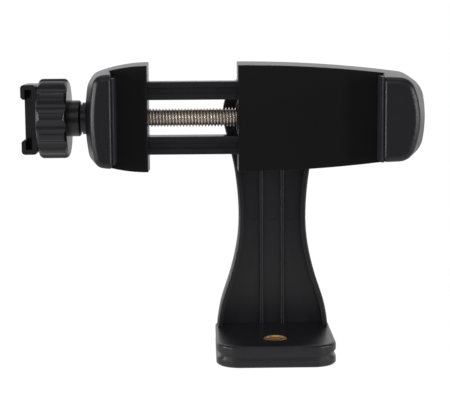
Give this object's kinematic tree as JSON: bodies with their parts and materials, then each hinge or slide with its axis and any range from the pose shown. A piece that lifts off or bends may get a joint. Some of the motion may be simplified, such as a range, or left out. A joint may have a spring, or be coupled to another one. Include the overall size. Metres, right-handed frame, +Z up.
{
  "type": "tripod phone mount adapter",
  "caption": "Black phone clamp adapter: an upright bracket with a threaded foot carries a turning head whose hooked jaw slides on rails when a lobed knob turns the lead screw.",
  "frame": {"origin": "mouth of the tripod thread, in the middle of the insert on the underside of the foot", "axes": "+X along the lead screw from the knob towards the fixed jaw, +Y to the back along the pivot, +Z up"},
  "size_m": [0.1268, 0.0375, 0.0945],
  "materials": {
    "black_plastic": "semi-matte black moulding",
    "knob_plastic": "glossier black moulding",
    "black_rubber": "deep matt black rubber",
    "smooth_rubber": "smooth black rubber with a soft shine",
    "stainless": "bright stainless thread",
    "spring_steel": "plain spring steel",
    "zinc_steel": "zinc-plated steel",
    "brass": "turned brass",
    "black_nylon": "black slippery plastic"
  },
  "bodies": {
    "bracket": {"bracket": "black_plastic", "thread_insert": "brass", "pivot_cap": "black_plastic"},
    "head": {"body_front": "black_plastic", "body_rear": "black_plastic", "body_pad": "black_rubber", "body_hook_pad": "smooth_rubber", "body_screws": "zinc_steel", "lead_nut": "black_plastic", "pivot_insert": "brass", "pivot_screw": "zinc_steel", "pivot_keeper": "zinc_steel", "pivot_spring": "spring_steel", "pivot_liner": "black_nylon"},
    "moving_jaw": {"jaw_front": "black_plastic", "jaw_carriage": "black_plastic", "jaw_pad": "black_rubber", "jaw_hook_pad": "smooth_rubber", "jaw_screws": "zinc_steel", "rail_plate": "zinc_steel", "plate_screws": "zinc_steel"},
    "hand_knob": {"lead_screw": "stainless", "knob": "knob_plastic", "thrust_washer": "black_plastic", "screw_clip": "spring_steel", "shoe_screw": "zinc_steel", "shoe_washer": "spring_steel"},
    "accessory_shoe": {"shoe": "black_plastic"}
  },
  "joints": [
    {"name": "head_pivot", "type": "hinge", "parent": "bracket", "child": "head", "pos_m": [0, 0.0174, 0.0772], "axis": [0, 1, 0], "range_deg": [-50, 230]},
    {"name": "jaw_slide", "type": "slide", "parent": "head", "child": "moving_jaw", "axis": [1, 0, 0], "range_m": [-0.0087, 0.0279]},
    {"name": "knob_spin", "type": "hinge", "parent": "moving_jaw", "child": "hand_knob", "pos_m": [-0.0741, 0.0062, 0.0772], "axis": [1, 0, 0], "range_deg": [-3132.1, 10044.1]},
    {"name": "shoe_swivel", "type": "hinge", "parent": "hand_knob", "child": "accessory_shoe", "pos_m": [-0.0744, 0.0062, 0.0772], "axis": [1, 0, 0], "continuous": true}
  ],
  "couplings": [
    {"joint": "knob_spin", "follows": "jaw_slide", "rad_per_m": 6283.2}
  ]
}
